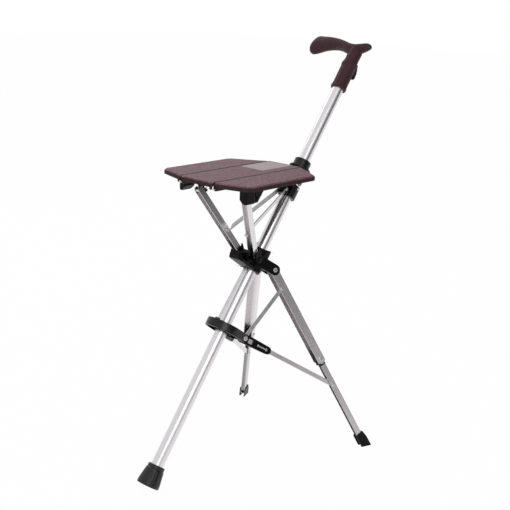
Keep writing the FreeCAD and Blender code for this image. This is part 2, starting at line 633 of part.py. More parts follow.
def shrink(points, inset):
    """Outline moved inward along each side by its own inset; sides run from each corner to the next."""
    lines = []
    count = len(points)
    for i in range(count):
        ax, ay = points[i]
        bx, by = points[(i + 1) % count]
        length = math.hypot(bx - ax, by - ay)
        nx, ny = -(by - ay) / length, (bx - ax) / length
        lines.append((nx, ny, nx * ax + ny * ay + inset[i]))
    out = []
    for i in range(count):
        a1, b1, c1 = lines[i - 1]
        a2, b2, c2 = lines[i]
        det = a1 * b2 - a2 * b1
        out.append(((c1 * b2 - c2 * b1) / det, (a1 * c2 - a2 * c1) / det))
    return out


def hinge_knuckles(y, side, first):
    """Knuckles round the rod at y, every second one from the first; side says where the plank lies."""
    z = seat_height - rod_depth
    length = (seat_rear - 8 - seat_front - 4) / 11
    solids = []
    for i in range(first, 11, 2):
        start = seat_front + 4 + i * length + 0.2
        end = start + length - 0.4
        eye = rod(4.4, (start, y, z), (end, y, z))
        web = box((start, end), (min(y, y + side * 4.4), max(y, y + side * 4.4)), (z, seat_height - 2))
        solids.append(eye.fuse(web))
    return solids


def rod_holes(radius):
    """Bores of both hinge rods."""
    z = seat_height - rod_depth
    y = centre_half + plank_gap / 2
    return [rod(radius, (seat_front - 9, y * side, z), (seat_rear + 9, y * side, z)) for side in (1, -1)]


def side_plank():
    """Side plank: a moulded plate with skirts on its outer sides and knuckles for the hinge rod."""
    inner = centre_half + plank_gap
    outline = [(seat_front, inner), (seat_rear, inner), (corner_rear, seat_half), (corner_front, seat_half)]
    body = plank(outline, [(corner_rear, seat_half), (corner_front, seat_half)], 14)
    soft = [e for e in body.Edges if abs(e.BoundBox.ZMin - seat_height) < 0.01
            and e.BoundBox.ZLength < 0.01 and e.BoundBox.YMin > seat_half - 0.1]
    body = body.makeFillet(5.0, soft)
    pocket = shrink(outline, (0, skirt_thick, skirt_thick, skirt_thick))
    low = seat_height - skirt_depth - 1
    room = slab([(x, y, low) for x, y in pocket], (0, 0, skirt_depth + 1 - plate_thick))
    body = body.cut(room)
    shallow = seat_height - skirt_shallow
    body = body.cut(box((seat_front - 1, seat_rear + 1), (inner + 9, seat_half + 1), (low, shallow)))
    for x in (150, 200, 250):
        body = body.fuse(box((x, x + 2), (inner + 7, seat_half - 2), (seat_height - 8.5, seat_height - 4)))
    z = seat_height - rod_depth
    y = inner - plank_gap / 2
    body = body.cut(rod(4.9, (seat_front - 9, y, z), (seat_rear + 9, y, z)))
    body = body.fuse(Part.makeCompound(hinge_knuckles(y, 1, 1)))
    body = body.cut(Part.makeCompound(rod_holes(rod_radius + running_fit)))
    body = body.cut(box((139.9, 182.3), (63, 82.1), (500, seat_height - plate_thick)))
    return body.cut(clevis_screws(0.02)).removeSplitter()


def centre_plank():
    """Middle plank: a plate with skirts at its ends, ribs below and knuckles on both sides."""
    outline = [(seat_front, -centre_half), (seat_rear, -centre_half), (seat_rear, centre_half),
               (seat_front, centre_half)]
    low = seat_height - skirt_depth
    body = slab([(x, y, low) for x, y in outline], (0, 0, skirt_depth))
    pocket = shrink(outline, (0, skirt_thick, 0, skirt_thick))
    body = body.cut(slab([(x, y, low - 1) for x, y in pocket], (0, 0, skirt_depth + 1 - plate_thick)))
    body = body.cut(box((seat_front - 1, seat_front + 9), (9 - centre_half, centre_half - 9),
                        (low - 1, seat_height - skirt_shallow)))
    for x in (150, 200, 250, 300):
        body = body.fuse(box((x, x + 2), (7 - centre_half, centre_half - 7), (seat_height - 8.5, seat_height - 4)))
    for y in (-24, 0, 24):
        body = body.fuse(box((seat_front + 1, seat_rear - 1), (y - 1, y + 1), (seat_height - 8.5, seat_height - 4)))
    z = seat_height - rod_depth
    rail = centre_half + plank_gap / 2
    for side in (1, -1):
        body = body.cut(rod(4.9, (seat_front - 9, rail * side, z), (seat_rear + 9, rail * side, z)))
        body = body.fuse(Part.makeCompound(hinge_knuckles(rail * side, -side, 0)))
    body = body.cut(Part.makeCompound(rod_holes(rod_radius + 0.02)))
    gx, gz = hinge_place
    knuckle = rod(5, (gx, -7.7, gz), (gx, 7.7, gz)).fuse(
        slab([(gx - 4.5, -7.7, gz - 2), (gx + 3, -7.7, gz + 4), (seat_rear, -7.7, seat_height - 4),
              (seat_rear - 18, -7.7, seat_height - 4), (seat_rear - 18, -7.7, seat_height - 8)], (0, 15.4, 0)))
    body = body.fuse(knuckle).cut(rod(hinge_pin_radius + 0.02, (gx, -30, gz), (gx, 30, gz)))
    for side in (1, -1):
        body = body.cut(rod(7.4, (gx, 7.72 * side, gz), (gx, 16 * side, gz)))
        near = min(7.72 * side, 16 * side)
        body = body.cut(box((322, 332), (near, near + 8.28), (515, seat_height - 8.5)))
    return body.removeSplitter()


def hinge_rods():
    """Two rods along the gaps between the planks."""
    z = seat_height - rod_depth
    y = centre_half + plank_gap / 2
    return Part.makeCompound([rod(rod_radius, (seat_front - 0.5, y * side, z), (seat_rear - 6, y * side, z))
                              for side in (1, -1)])


def seat_hinge_pin():
    """Pin under the middle plank that rests in the collar's hooks."""
    gx, gz = hinge_place
    return rivet(gx, gz, -13.0, 13.0, hinge_pin_radius, (True, True))


def collar():
    """Black collar on the tube with the hooks that hold the seat's pin."""
    low, high = collar_span
    body = rod(16, (0, 0, low + 2), (0, 0, high))
    body = body.makeFillet(1.2, [e for e in body.Edges if e.Closed and e.BoundBox.ZLength < 0.01])
    flange = rod(21, (0, 0, 633), (0, 0, 637))
    flange = flange.makeFillet(1.2, [e for e in flange.Edges if e.Closed and e.BoundBox.ZLength < 0.01])
    body = body.fuse(flange)
    g = off_cane((hinge_place[0], 0, hinge_place[1]))
    for y in (8.1, -12.1):
        lug = slab([(-8, y, 632), (-18, y, 632), (g.x, y, g.z + 6.0), (g.x, y, g.z - 6), (-20, y, 604), (-8, y, 604)],
                   (0, 4, 0))
        body = body.fuse(lug).fuse(rod(6, (g.x, y, g.z), (g.x, y + 4, g.z)))
    seat = rod(hinge_pin_radius + 0.08, (g.x, -20, g.z), (g.x, 20, g.z))
    mouth = slab([(g.x - 2.58, -20, g.z), (g.x + 2.58, -20, g.z), (g.x + 3.5, -20, g.z + 25),
                  (g.x - 9, -20, g.z + 25)], (0, 40, 0))
    knuckle_room = rod(6.2, (g.x, -8.05, g.z), (g.x, 8.05, g.z))
    body = body.cut(seat).cut(mouth).cut(knuckle_room)
    return body.cut(rod(slide_radius, (0, 0, low - 9), (0, 0, high + 9))).removeSplitter()


def link_frame():
    """Frame of a seat link at its foot on the runner: X to the strut's rivet, Y its hinge axis."""
    start = on_cane(link_foot[0], link_foot[1], link_foot[2])
    end = strut_place.multVec(Vector(strut_link_reach, -strut_width / 2 - link_spacer - link_half - 0.05, 1))
    splay_axis = strut_rise.cross(Vector(0, 1, 0))
    splay = FreeCAD.Placement(Vector(0, 0, 0), FreeCAD.Rotation(splay_axis, splay_turn), strut_foot)
    centre = on_cane(strut_pivot[0], strut_pivot[1], 0)
    swing = FreeCAD.Placement(Vector(0, 0, 0), FreeCAD.Rotation(Vector(0, 1, 0), yoke_turn), centre)
    folded_end = swing.multiply(splay).multVec(end)
    along = (end - start).Length
    rise = off_cane(folded_end) - off_cane(start)
    run = math.sqrt(along ** 2 - rise.x ** 2 - rise.y ** 2)
    folded_start = on_cane(link_foot[0] + rise.z + run, link_foot[1], link_foot[2])
    axis = (end - start).cross(folded_end - folded_start)
    if axis.y < 0:
        axis = axis * -1
    return frame(start, end - start, axis), along


def seat_link():
    """Flat link with a hole on the runner's pin and a hook over the strut's rivet."""
    place, along = link_frame()
    bar = strap((0, 0), (along, 0), 4, -link_half, link_half)
    hook = [(2.2, 0), (2.2, -9), (-13.2, -9), (-12.9, -4.1), (-9.5, -0.7), (-5.4, 1.0), (-0.7, 2.1)]
    mouth = rod(2.2, (along, -4, 0), (along, 4, 0)).fuse(
        slab([(along + x, -4, z) for x, z in hook], (0, 8, 0)))
    return lengthwise(bar.cut(rod(2 + running_fit, (0, -4, 0), (0, 4, 0))).cut(mouth), place)


def runner():
    """Black runner on the tube that carries the seat links."""
    low, high = runner_span
    body = rod(runner_radius, (0, 0, low), (0, 0, high))
    body = body.makeFillet(1.0, [e for e in body.Edges if e.Closed and e.BoundBox.ZLength < 0.01])
    s, off, y = link_foot
    nose = box((-19.5, -8), (-5.4, 5.4), (low, s + 7))
    nose = nose.makeFillet(3.0, [e for e in nose.Edges if e.BoundBox.YLength > 10 and e.BoundBox.XMax < -19])
    body = body.fuse(nose)
    for side in (1, -1):
        body = body.cut(box((-24, -9.5), (min(side * 5.4, side * 22), max(side * 5.4, side * 22)), (low - 3, s + 9)))
    body = body.cut(rod(slide_radius, (0, 0, low - 9), (0, 0, high + 9)))
    place, along = link_frame()
    hole = off_pin(place, 2.02, -12, 3)
    screw_hole = rod(2.42, (2, -22, 595.0), (2, -12.9, 595.0))
    for cutter in (hole, screw_hole):
        body = body.cut(cutter).cut(cutter.mirror(Vector(0, 0, 0), Vector(0, 1, 0)))
    return body.removeSplitter()


def off_pin(place, radius, low, high):
    """Pin on a seat link's axis, given back in the cane's frame."""
    return lengthwise(rod(radius, (0, low, 0), (0, high, 0)), cane.inverse().multiply(place))


def runner_rivets():
    """Pins of the seat links and the runner's screws."""
    place, along = link_frame()
    pin = rivet(0, 0, -4.5, link_half + 0.15, 2.0, (False, True))
    pins = both_sides(lengthwise(pin, place))
    screw = lengthwise(rod(2.4, (2, -17.2, 595.0), (2, -13, 595.0)), cane)
    return Part.makeCompound(pins.Solids + both_sides(screw).Solids)


def pull_rod():
    """Rod inside the tube, with a head that the trigger's tongue lifts."""
    stem = rod(2.0, (0, 0, 634), (0, 0, 857))
    return stem.fuse(rod(6, (0, 0, 856.7), (0, 0, 859))).removeSplitter()


def latch():
    """Block at the lower end of the pull rod that locks the opened frame."""
    block = rod(8.8, (0, 0, 622), (0, 0, 640)).fuse(box((-10.8, 10.8), (-2.4, 2.4), (625.5, 629.5)))
    return block.removeSplitter().cut(rod(2.03, (0, 0, 634), (0, 0, 650)))


def build():
    keep("main_tube", main_tube(), cane)
    keep("rubber_tip", rubber_tip(), cane)
    keep("handle", handle(), cane)
    keep("trigger", trigger(), cane)
    keep("trigger_pin", rod(1.46, (12.6, -6.3, 866), (12.6, 6.3, 866)), cane)
    keep("trigger_spring", coil(4.4, 0.6, 5, 860, 892.8), cane)
    keep("pull_rod", pull_rod(), cane)
    keep("latch", latch(), cane)
    keep("hub", hub(), cane)
    keep("hub_screws", hub_screws(), cane)
    keep("yoke_pin", yoke_pin(), cane)
    keep("leg_pivot_rivets", leg_pivot_rivets())
    keep("strut_yoke", yoke())
    keep("strut_foot_rivets", strut_foot_rivets())
    keep_pair("strut", strut(), strut_place)
    keep_pair("strut_swivel", strut_swivel())
    keep_pair("strut_head_rivet", strut_head_rivet(), strut_place)
    keep_pair("strut_link_rivet", strut_link_rivet(), strut_place)
    keep_pair("clevis", clevis())
    keep_pair("clevis_screws", clevis_screws())
    keep_pair("side_plank", side_plank())
    keep("centre_plank", centre_plank())
    keep("hinge_rods", hinge_rods())
    keep("seat_hinge_pin", seat_hinge_pin())
    keep("collar", collar(), cane)
    keep("runner", runner(), cane)
    keep("runner_rivets", runner_rivets())
    keep_pair("seat_link", seat_link())
    keep_pair("upper_leg", upper_leg(), leg_place)
    keep_pair("lower_leg", lower_leg(), knee_place)
    keep_pair("boot", boot())
    keep_pair("knee_block", knee_block(), knee_place)
    keep_pair("knee_rivet", knee_rivet(), knee_place)
    keep_pair("brace", brace(), brace_place)
    keep_pair("brace_arm", brace_arm(), brace_place)
    keep_pair("side_link", side_link(), link_place)
    keep_pair("side_link_rivet", side_link_rivet(), leg_place)
    keep_pair("brace_rivet", brace_rivet(), knee_place)
    keep("ring", ring(), cane)
    keep("ring_rivets", ring_rivets())
    keep("front_strip", front_strip(), cane)


build()
whole = Part.makeCompound(list(parts.values())).BoundBox
shift = Vector(-(whole.XMin + whole.XMax) / 2, 0, -whole.ZMin)
os.makedirs("parts", exist_ok=True)
for name, shape in parts.items():
    moved = shape.copy()
    moved.translate(shift)
    moved.exportStep("parts/" + name + ".step")
print(len(parts), "pieces, shifted by", round(shift.x, 3), round(shift.y, 3), round(shift.z, 3))
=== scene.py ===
import bpy
import math
from mathutils import Matrix, Vector


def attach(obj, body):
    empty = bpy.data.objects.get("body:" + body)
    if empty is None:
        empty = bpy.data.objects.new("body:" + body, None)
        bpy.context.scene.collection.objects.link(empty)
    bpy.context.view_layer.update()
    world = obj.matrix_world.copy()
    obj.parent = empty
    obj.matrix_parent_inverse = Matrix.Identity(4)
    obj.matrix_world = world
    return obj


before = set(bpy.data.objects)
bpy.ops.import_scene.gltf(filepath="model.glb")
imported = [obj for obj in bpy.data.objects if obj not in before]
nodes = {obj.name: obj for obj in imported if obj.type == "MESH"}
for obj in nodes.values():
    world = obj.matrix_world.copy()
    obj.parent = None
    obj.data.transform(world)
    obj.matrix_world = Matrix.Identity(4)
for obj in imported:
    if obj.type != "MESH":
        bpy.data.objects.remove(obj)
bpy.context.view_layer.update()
print("frame loaded with", len(nodes), "nodes")


def addNode(tree, kind, settings, inputs):
    # any node: its settings first, then the values or links of its sockets
    made = tree.nodes.new(kind)
    for name, value in settings.items():
        setattr(made, name, value)
    for name, value in inputs.items():
        if isinstance(value, bpy.types.NodeSocket):
            tree.links.new(value, made.inputs[name])
        else:
            made.inputs[name].default_value = value
    return made


# a shader socket that takes part in plain Python maths
class Wire:
    def __init__(self, recipe, socket):
        self.recipe = recipe
        self.socket = socket

    def maths(self, operation, other, flipped=False):
        pair = (other, self) if flipped else (self, other)
        return self.recipe.node("ShaderNodeMath", {"operation": operation}, {0: pair[0], 1: pair[1]})

    def __add__(self, other):
        return self.maths("ADD", other)

    def __radd__(self, other):
        return self.maths("ADD", other, True)

    def __sub__(self, other):
        return self.maths("SUBTRACT", other)

    def __rsub__(self, other):
        return self.maths("SUBTRACT", other, True)

    def __mul__(self, other):
        return self.maths("MULTIPLY", other)

    def __rmul__(self, other):
        return self.maths("MULTIPLY", other, True)

    def size(self):
        return self.maths("ABSOLUTE", 0)

    def positive(self):
        return self.maths("MAXIMUM", 0)

    def clamped(self):
        return self.recipe.node("ShaderNodeClamp", {}, {"Value": self})


# one material, built node by node
class Recipe:
    def __init__(self, name):
        self.material = bpy.data.materials.new(name)
        self.material.use_nodes = True
        self.tree = self.material.node_tree
        self.shader = self.tree.nodes["Principled BSDF"]

    def node(self, kind, settings, inputs, out=0):
        plain = {name: value.socket if isinstance(value, Wire) else value for name, value in inputs.items()}
        return Wire(self, addNode(self.tree, kind, settings, plain).outputs[out])

    def place(self, scale=(1, 1, 1), turn=(0, 0, 0)):
        where = self.node("ShaderNodeTexCoord", {}, {}, "Object")
        return self.node("ShaderNodeMapping", {}, {"Vector": where, "Scale": scale, "Rotation": turn})

    def noise(self, where, pattern, out=0):
        # a pattern is a noise's scale, detail and roughness
        scale, detail, roughness = pattern
        inputs = {"Vector": where, "Scale": scale, "Detail": detail, "Roughness": roughness}
        return self.node("ShaderNodeTexNoise", {}, inputs, out)

    def cells(self, where, scale):
        inputs = {"Vector": where, "Scale": scale}
        return self.node("ShaderNodeTexVoronoi", {"feature": "DISTANCE_TO_EDGE"}, inputs)

    def blend(self, factor, low, high):
        return self.node("ShaderNodeMix", {"data_type": "RGBA"}, {0: factor, 6: low, 7: high}, 2)

    def bump(self, height, strength, distance):
        return self.node("ShaderNodeBump", {}, {"Height": height, "Strength": strength, "Distance": distance})

    def set(self, **values):
        for name, value in values.items():
            socket = self.shader.inputs[name.replace("_", " ")]
            if isinstance(value, Wire):
                self.tree.links.new(value.socket, socket)
            else:
                socket.default_value = value
        return self.material


def rgb(red, green, blue):
    return (red, green, blue, 1.0)


# drawn aluminium: fine streaks along the metal, under a soft haze and the marks of handling
aluminium = {
    "tube": (0.80, 0.78, 0.79),
    "leg": (0.80, 0.76, 0.775),
    # painted shade: the lower legs are the same aluminium as the legs, painted darker
    "lower leg": (0.66, 0.63, 0.64),
    "strut": (0.80, 0.775, 0.785),
    "dulled": 0.88,  # how bright the metal stays between two streaks
    "streak": (900, 2.0, 0.5),
    "stretch": 0.012,  # a streak's width over its length
    "haze": (14, 3.0, 0.5),
    "hazeShare": 0.5,
    "handling": (55, 4.0, 0.6),
    "metal": 0.95,
    "rough": 0.17,
    "roughStreak": 0.10,
    "roughHandling": 0.06,
    "bump": 0.03,
    "bumpDepth": 0.0002,
}


def drawnAluminium(name, turn, tone):
    look = Recipe(name)
    light = rgb(*aluminium[tone])
    dull = rgb(*[part * aluminium["dulled"] for part in aluminium[tone]])
    along = look.place((1, 1, aluminium["stretch"]), [math.radians(angle) for angle in turn])
    streak = look.noise(along, aluminium["streak"])
    haze = look.noise(look.place(), aluminium["haze"])
    handling = look.noise(look.place(), aluminium["handling"])
    share = aluminium["hazeShare"]
    colour = look.blend((haze * share + streak * (1 - share)).clamped(), dull, light)
    rough = aluminium["rough"] + aluminium["roughStreak"] * streak + aluminium["roughHandling"] * handling
    return look.set(Base_Color=colour, Metallic=aluminium["metal"], Roughness=rough,
                    Normal=look.bump(streak, aluminium["bump"], aluminium["bumpDepth"]))


steel = {
    "light": rgb(0.74, 0.74, 0.74),
    "dull": rgb(0.55, 0.55, 0.56),
    "cloud": (120, 3.0, 0.5),
    "fine": (1600, 2.0, 0.5),
    "rough": 0.22,
    "roughCloud": 0.14,
    "bump": 0.04,
    "bumpDepth": 0.0002,
}


def platedSteel():
    look = Recipe("plated steel")
    cloud = look.noise(look.place(), steel["cloud"])
    fine = look.noise(look.place(), steel["fine"])
    colour = look.blend(cloud, steel["dull"], steel["light"])
    return look.set(Base_Color=colour, Metallic=1.0, Roughness=steel["rough"] + steel["roughCloud"] * cloud,
                    Normal=look.bump(fine, steel["bump"], steel["bumpDepth"]))


# black mouldings: shine is the specular level, and polish scales the roughness
blackMoulding = {
    "deep": rgb(0.0015, 0.0015, 0.0018),
    "pale": rgb(0.006, 0.0055, 0.006),
    "flow": (40, 3.0, 0.5),
    "fine": (700, 2.0, 0.5),
    "scuff": (260, 4.0, 0.65),
    "scuffStretch": 0.15,
    "rough": 0.27,
    "roughFlow": 0.12,
    "roughScuff": 0.10,
    "bump": 0.06,
    "bumpDepth": 0.0003,
    "hub": {"shine": 0.10, "polish": 1.0},
    "ring": {"shine": 0.35, "polish": 0.5},
}


def blackPlastic(name, kind):
    own = blackMoulding[kind]
    look = Recipe(name)
    flow = look.noise(look.place(), blackMoulding["flow"])
    fine = look.noise(look.place(), blackMoulding["fine"])
    scuff = look.noise(look.place((1, 1, blackMoulding["scuffStretch"])), blackMoulding["scuff"])
    colour = look.blend(flow, blackMoulding["deep"], blackMoulding["pale"])
    rough = (blackMoulding["rough"] * own["polish"] + blackMoulding["roughFlow"] * flow
             + blackMoulding["roughScuff"] * scuff)
    return look.set(Base_Color=colour, Roughness=rough, Specular_IOR_Level=own["shine"],
                    Normal=look.bump(fine, blackMoulding["bump"], blackMoulding["bumpDepth"]))


rubber = {
    "deep": rgb(0.002, 0.002, 0.0025),
    "dusty": rgb(0.010, 0.010, 0.011),
    "dust": (60, 4.0, 0.6),
    "pores": (2200, 2.0, 0.5),
    "rough": 0.22,
    "roughDust": 0.2,
    "bump": 0.15,
    "bumpDepth": 0.0003,
    "tipShine": 0.4,
    "bootShine": 0.12,
}


def softRubber(name, shine):
    look = Recipe(name)
    dust = look.noise(look.place(), rubber["dust"])
    pores = look.noise(look.place(), rubber["pores"])
    colour = look.blend(dust, rubber["deep"], rubber["dusty"])
    return look.set(Base_Color=colour, Roughness=rubber["rough"] + rubber["roughDust"] * dust,
                    Specular_IOR_Level=shine, Normal=look.bump(pores, rubber["bump"], rubber["bumpDepth"]))


# leather-grained maroon plastic: pebbles with painted shade darkening the creases between them, and painted
# highlights (glints) on their tops
maroon = {
    "planks": {"deep": rgb(0.145, 0.046, 0.058), "light": rgb(0.28, 0.125, 0.145),
               "grain": 330, "bump": 0.8, "shine": 0.4, "wear": 0.75},
    "grip": {"deep": rgb(0.034, 0.011, 0.015), "light": rgb(0.065, 0.026, 0.032),
             "grain": 495, "bump": 0.3, "shine": 0.22, "wear": 0.08},
    # painted shade: the colour the creases between the pebbles are darkened to
    "crease": rgb(0.035, 0.008, 0.011),
    "shadow": rgb(0.012, 0.004, 0.005),
    # painted highlight: the pale colour painted on the pebbles' tops in place of the sheen's sparkle
    "glint": rgb(0.44, 0.27, 0.30),
    "wander": (90, 3.0, 0.5),
    "push": (160, 2.0, 0.5),
    "pushBy": 0.0025,  # how far the pebbles are pushed out of their rows, in metres
    "coarse": 0.42,  # the large pebbles' scale over the small ones'
    "smallCrease": 3.2,
    "largeCrease": 4.5,
    "smallShare": 0.7,
    "largeShare": 0.3,
    "creaseDepth": 0.8,
    "wornFrom": 0.14,
    "wornPatch": (380, 2.0, 0.5),
    "wornPatchFrom": 0.45,
    "wornEdge": 6,
    "fine": (2600, 2.0, 0.5),
    "fineHeight": 0.12,
    "rough": 0.36,
    "roughCrease": 0.22,
    "roughWander": 0.08,
    "bumpDepth": 0.0006,
}

# the planks' painted shade and their plain film, placed in metres: a soft edge is steeper where its number is
# larger
seat = {
    "gapCentre": 0.03925,
    "gapShade": 0.0019,
    "gapSoft": 1400,
    "gapDark": 0.92,
    "top": 0.540,
    "edge": 0.0016,
    "edgeSoft": 700,
    "edgeDark": 0.94,
    "edgeRough": 0.3,
    "film": rgb(0.40, 0.33, 0.335),
    "filmCentre": (0.019, 0.008),
    "filmHalf": (0.039, 0.026),
    "filmSoft": 3000,
    "filmCover": 0.8,
    "filmFlat": 0.7,
}


def plankShades(look, where, colour):
    # painted shade: the planks are darkened along the two gaps, and on their edges below the top
    across, height = [look.node("ShaderNodeSeparateXYZ", {}, {"Vector": where}, axis) for axis in (1, 2)]
    # painted shade along the gaps between the planks
    aside = (across.size() - seat["gapCentre"]).size()
    gap = 1 - ((aside - seat["gapShade"]) * seat["gapSoft"]).clamped()
    colour = look.blend(gap * seat["gapDark"], colour, maroon["shadow"])
    # painted shade on the plank edges (skirts) that lie below the top
    below = ((seat["top"] - seat["edge"] - height) * seat["edgeSoft"]).clamped()
    return look.blend(below * seat["edgeDark"], colour, maroon["shadow"]), below


def plainFilm(look, where):
    # a plain pale film lies on the middle plank
    beyond = 0
    for axis in (0, 1):
        along = look.node("ShaderNodeSeparateXYZ", {}, {"Vector": where}, axis)
        beyond = beyond + ((along - seat["filmCentre"][axis]).size() - seat["filmHalf"][axis]).positive()
    return 1 - (beyond * seat["filmSoft"]).clamped()


def leatherGrain(name, kind):
    own = maroon[kind]
    look = Recipe(name)
    where = look.place()
    wander = look.noise(where, maroon["wander"])
    push = look.noise(where, maroon["push"], "Color")
    pushed = look.node("ShaderNodeVectorMath", {"operation": "SCALE"}, {0: push, "Scale": maroon["pushBy"]})
    warped = look.node("ShaderNodeVectorMath", {"operation": "ADD"}, {0: where, 1: pushed})
    small = look.cells(warped, own["grain"])
    large = look.cells(warped, own["grain"] * maroon["coarse"])
    smallCrease = 1 - (small * maroon["smallCrease"]).clamped()
    largeCrease = 1 - (large * maroon["largeCrease"]).clamped()
    crease = smallCrease * maroon["smallShare"] + largeCrease * maroon["largeShare"]
    tint = look.blend(wander, own["deep"], own["light"])
    # painted shade: the creases between the pebbles are darkened towards the crease colour
    colour = look.blend((crease * maroon["creaseDepth"]).clamped(), tint, maroon["crease"])
    # painted highlight: the tops of the pebbles, in patches, are painted a pale glint that stands in for the
    # sheen's sparkle
    raised = ((small - maroon["wornFrom"]) * maroon["wornEdge"]).clamped()
    patch = look.noise(where, maroon["wornPatch"])
    sparkled = raised * ((patch - maroon["wornPatchFrom"]) * maroon["wornEdge"]).clamped()
    colour = look.blend(sparkled * own["wear"], colour, maroon["glint"])
    rough = maroon["rough"] + maroon["roughWander"] * wander
    if kind == "planks":
        colour, below = plankShades(look, where, colour)
        film = plainFilm(look, where)
        colour = look.blend(film * seat["filmCover"], colour, seat["film"])
        crease = crease * (1 - film * seat["filmFlat"])
        rough = rough + seat["edgeRough"] * below
    rough = rough + maroon["roughCrease"] * crease
    height = (1 - crease) + maroon["fineHeight"] * look.noise(where, maroon["fine"])
    return look.set(Base_Color=colour, Roughness=rough, Specular_IOR_Level=own["shine"],
                    Normal=look.bump(height, own["bump"], maroon["bumpDepth"]))


rivetSteel = platedSteel()
hubBlack = blackPlastic("black moulding of the hub", "hub")
ringBlack = blackPlastic("gloss black moulding of the ring", "ring")
tipBlack = softRubber("black rubber of the tip", rubber["tipShine"])
bootBlack = softRubber("black rubber of the boots", rubber["bootShine"])
plankGrain = leatherGrain("leather-grained maroon planks", "planks")
gripGrain = leatherGrain("leather-grained maroon grip", "grip")

# degrees about X, Y and Z that stand each aluminium piece upright, so that its streaks run along Z;
# a right leg or strut leans the other way about X
upright = {"tube": (0, -36, 0), "leg": (-22, 20, 0), "strut": (15, 30, 0)}

finishes = {"main_tube": drawnAluminium("drawn aluminium of the tube", upright["tube"], "tube"),
            "rubber_tip": tipBlack, "handle": gripGrain, "centre_plank": plankGrain}
for name in ("trigger", "latch", "hub", "strut_yoke", "yoke_pin", "hub_screws"):
    finishes[name] = hubBlack
for name in ("collar", "runner", "ring"):
    finishes[name] = ringBlack
for side, way in (("left", 1), ("right", -1)):
    legTurn = (upright["leg"][0] * way, upright["leg"][1], upright["leg"][2])
    strutTurn = (upright["strut"][0] * way, upright["strut"][1], upright["strut"][2])
    legMetal = drawnAluminium("drawn aluminium of the " + side + " leg", legTurn, "leg")
    # painted shade: a darker copy of the leg aluminium for the lower legs
    shadedLowerMetal = drawnAluminium("drawn aluminium of the " + side + " lower leg", legTurn, "lower leg")
    strutMetal = drawnAluminium("drawn aluminium of the " + side + " strut", strutTurn, "strut")
    finishes[side + "_upper_leg"] = legMetal
    finishes[side + "_brace"] = legMetal
    finishes[side + "_lower_leg"] = shadedLowerMetal
    finishes[side + "_strut"] = strutMetal
    finishes[side + "_boot"] = bootBlack
    finishes[side + "_side_plank"] = plankGrain
    for name in ("_knee_block", "_brace_arm", "_clevis", "_clevis_screws"):
        finishes[side + name] = hubBlack
print("materials made")

# a node that has no finish of its own is plated steel
for name, piece in nodes.items():
    piece.data.materials.clear()
    piece.data.materials.append(finishes.get(name, rivetSteel))
print("nodes dressed")


# moulded pieces have no razor edges: widths in metres, angles in degrees
softEdges = {
    "centre_plank": 0.0011,
    "left_side_plank": 0.0011,
    "right_side_plank": 0.0011,
    "hub": 0.0005,
    "left_brace_arm": 0.0005,
    "right_brace_arm": 0.0005,
    "ring": 0.0005,
    "strut_yoke": 0.0004,
}
edgeTools = {"joinWithin": 0.00001, "flatWithin": 0.5, "cornerFrom": 50, "steps": 2}


def softenEdges(name, width):
    # the node's loose triangles are joined and its flat faces made one before the corners are rounded
    piece = nodes[name]
    joined = piece.modifiers.new("joined corners", "WELD")
    joined.merge_threshold = edgeTools["joinWithin"]
    flat = piece.modifiers.new("flat faces", "DECIMATE")
    flat.decimate_type = "DISSOLVE"
    flat.angle_limit = math.radians(edgeTools["flatWithin"])
    rounding = piece.modifiers.new("rounded edges", "BEVEL")
    rounding.width = width
    rounding.segments = edgeTools["steps"]
    rounding.limit_method = "ANGLE"
    rounding.angle_limit = math.radians(edgeTools["cornerFrom"])
    rounding.use_clamp_overlap = False


for name, width in softEdges.items():
    softenEdges(name, width)
print("edges softened")


# the rivets' heads are dimpled: a rolled rim stands round the middle of each, in metres
rims = {
    "reach": 0.56,  # of the flat cap's radius
    "thickness": 0.00045,
    "sunk": 0.00012,
    "capDepth": 0.0004,
    "settlings": 12,
    "around": 28,
    "section": 8,
    "cornersPerMetre": 1e5,  # corners nearer than 10 micrometres are one
    "rivets": {"frame": "leg_pivot_rivets", "ring": "ring_rivets", "left_upper_leg": "left_knee_rivet",
               "right_upper_leg": "right_knee_rivet", "left_lower_leg": "left_brace_rivet",
               "right_lower_leg": "right_brace_rivet"},
}


def rimTree():
    tree = bpy.data.node_groups.new("rolled rims", "GeometryNodeTree")
    for name, kind, way in (("Geometry", "Geometry", "INPUT"), ("Thickness", "Float", "INPUT"),
                            ("Material", "Material", "INPUT"), ("Geometry", "Geometry", "OUTPUT")):
        tree.interface.new_socket(name=name, in_out=way, socket_type="NodeSocket" + kind)
    given = addNode(tree, "NodeGroupInput", {}, {})
    attribute = "GeometryNodeInputNamedAttribute"
    facing = addNode(tree, attribute, {"data_type": "FLOAT_VECTOR"}, {"Name": "facing"})
    radius = addNode(tree, attribute, {"data_type": "FLOAT"}, {"Name": "rimRadius"})
    turned = addNode(tree, "FunctionNodeAlignRotationToVector", {"axis": "Z"},
                     {"Vector": facing.outputs["Attribute"]})
    circle = addNode(tree, "GeometryNodeCurvePrimitiveCircle", {},
                     {"Resolution": rims["around"], "Radius": 1.0})
    placed = addNode(tree, "GeometryNodeInstanceOnPoints", {},
                     {"Points": given.outputs["Geometry"], "Instance": circle.outputs["Curve"],
                      "Rotation": turned.outputs["Rotation"], "Scale": radius.outputs["Attribute"]})
    section = addNode(tree, "GeometryNodeCurvePrimitiveCircle", {},
                      {"Resolution": rims["section"], "Radius": given.outputs["Thickness"]})
    real = addNode(tree, "GeometryNodeRealizeInstances", {}, {"Geometry": placed.outputs["Instances"]})
    rolled = addNode(tree, "GeometryNodeCurveToMesh", {},
                     {"Curve": real.outputs["Geometry"], "Profile Curve": section.outputs["Curve"]})
    finished = addNode(tree, "GeometryNodeSetMaterial", {},
                       {"Geometry": rolled.outputs["Mesh"], "Material": given.outputs["Material"]})
    addNode(tree, "NodeGroupOutput", {}, {"Geometry": finished.outputs["Geometry"]})
    return tree


